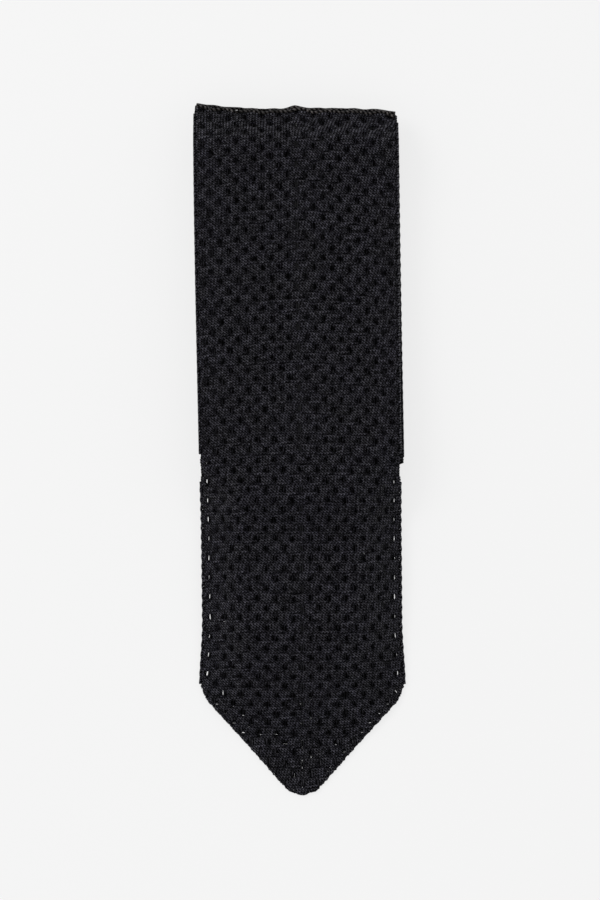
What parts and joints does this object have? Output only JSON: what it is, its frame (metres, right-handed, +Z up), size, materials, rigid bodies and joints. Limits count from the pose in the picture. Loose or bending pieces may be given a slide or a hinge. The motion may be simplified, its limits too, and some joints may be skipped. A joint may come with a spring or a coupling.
{
  "type": "necktie",
  "caption": "Openwork knitted necktie folded into a flat bundle, its wide pointed blade draped over the folded neck and tail.",
  "frame": {"origin": "middle of the bundle's underside, on the surface it lies on", "axes": "+Z up, +Y from the point towards the top fold, +X across the tie to the right as seen from above"},
  "size_m": [0.0726, 0.242, 0.0169],
  "materials": {
    "silk_knit": "openwork silk knit, soft sheen",
    "sewing_thread": "twisted silk thread",
    "label_satin": "blank woven satin",
    "care_tag_satin": "blank white satin",
    "twill_tape": "cotton twill tape"
  },
  "bodies": {
    "tail": {"tail_knit": "silk_knit", "tail_seam": "sewing_thread", "tail_tip_hem": "silk_knit", "tail_bar_tack": "sewing_thread", "inner_fold_3": "silk_knit"},
    "neck_4": {"neck_knit_4": "silk_knit", "neck_seam_4": "sewing_thread", "neck_fold_2": "silk_knit"},
    "neck_3": {"neck_knit_3": "silk_knit", "neck_seam_3": "sewing_thread", "inner_fold_2": "silk_knit"},
    "neck_2": {"neck_knit_2": "silk_knit", "neck_seam_2": "sewing_thread", "neck_fold_1": "silk_knit", "neck_stay_tape": "twill_tape", "neck_joining_seam": "sewing_thread"},
    "neck_1": {"neck_knit_1": "silk_knit", "neck_seam_1": "sewing_thread", "inner_fold_1": "silk_knit"},
    "taper": {"taper_knit": "silk_knit", "taper_seam": "sewing_thread", "under_fold": "silk_knit"},
    "under_blade": {"under_blade_knit": "silk_knit", "under_blade_seam": "sewing_thread", "top_fold": "silk_knit"},
    "front_blade": {"front_blade_knit": "silk_knit", "front_blade_seam": "sewing_thread", "blade_crease": "silk_knit", "keeper_loop": "silk_knit", "keeper_stitches": "sewing_thread", "label": "label_satin", "label_stitches": "sewing_thread", "care_tag_patch": "care_tag_satin", "care_tag_stitches": "sewing_thread"},
    "blade_end": {"blade_end_knit": "silk_knit", "blade_end_seam": "sewing_thread", "blade_tip_hem": "silk_knit", "blade_bar_tack": "sewing_thread"}
  },
  "joints": [
    {"name": "front_fold", "type": "hinge", "parent": "under_blade", "child": "front_blade", "pos_m": [0, 0.11855, 0.00895], "axis": [-1, 0, 0], "range_deg": [0, 179], "deforming": ["top_fold"]},
    {"name": "blade_lift", "type": "hinge", "parent": "front_blade", "child": "blade_end", "pos_m": [0, -0.0073, 0.01605], "axis": [-1, 0, 0], "range_deg": [0, 120], "deforming": ["blade_crease"]},
    {"name": "pleat_1_top", "type": "hinge", "parent": "neck_1", "child": "taper", "pos_m": [0, 0.108, 0.00985], "axis": [-1, 0, 0], "range_deg": [0, 160], "deforming": ["inner_fold_1"]},
    {"name": "pleat_1_low", "type": "hinge", "parent": "taper", "child": "under_blade", "pos_m": [0, -0.00345, 0.01185], "axis": [1, 0, 0], "range_deg": [0, 160], "deforming": ["under_fold"]},
    {"name": "pleat_2_top", "type": "hinge", "parent": "neck_3", "child": "neck_2", "pos_m": [0, 0.108, 0.00585], "axis": [-1, 0, 0], "range_deg": [0, 160], "deforming": ["inner_fold_2"]},
    {"name": "pleat_2_low", "type": "hinge", "parent": "neck_2", "child": "neck_1", "pos_m": [0, -0.06, 0.00785], "axis": [1, 0, 0], "range_deg": [0, 160], "deforming": ["neck_fold_1"]},
    {"name": "pleat_3_top", "type": "hinge", "parent": "tail", "child": "neck_4", "pos_m": [0, 0.108, 0.00185], "axis": [-1, 0, 0], "range_deg": [0, 160], "deforming": ["inner_fold_3"]},
    {"name": "pleat_3_low", "type": "hinge", "parent": "neck_4", "child": "neck_3", "pos_m": [0, -0.06, 0.00385], "axis": [1, 0, 0], "range_deg": [0, 160], "deforming": ["neck_fold_2"]}
  ],
  "couplings": [
    {"joint": "pleat_1_low", "follows": "pleat_1_top", "ratio": 1},
    {"joint": "pleat_2_low", "follows": "pleat_2_top", "ratio": 1},
    {"joint": "pleat_3_low", "follows": "pleat_3_top", "ratio": 1}
  ]
}
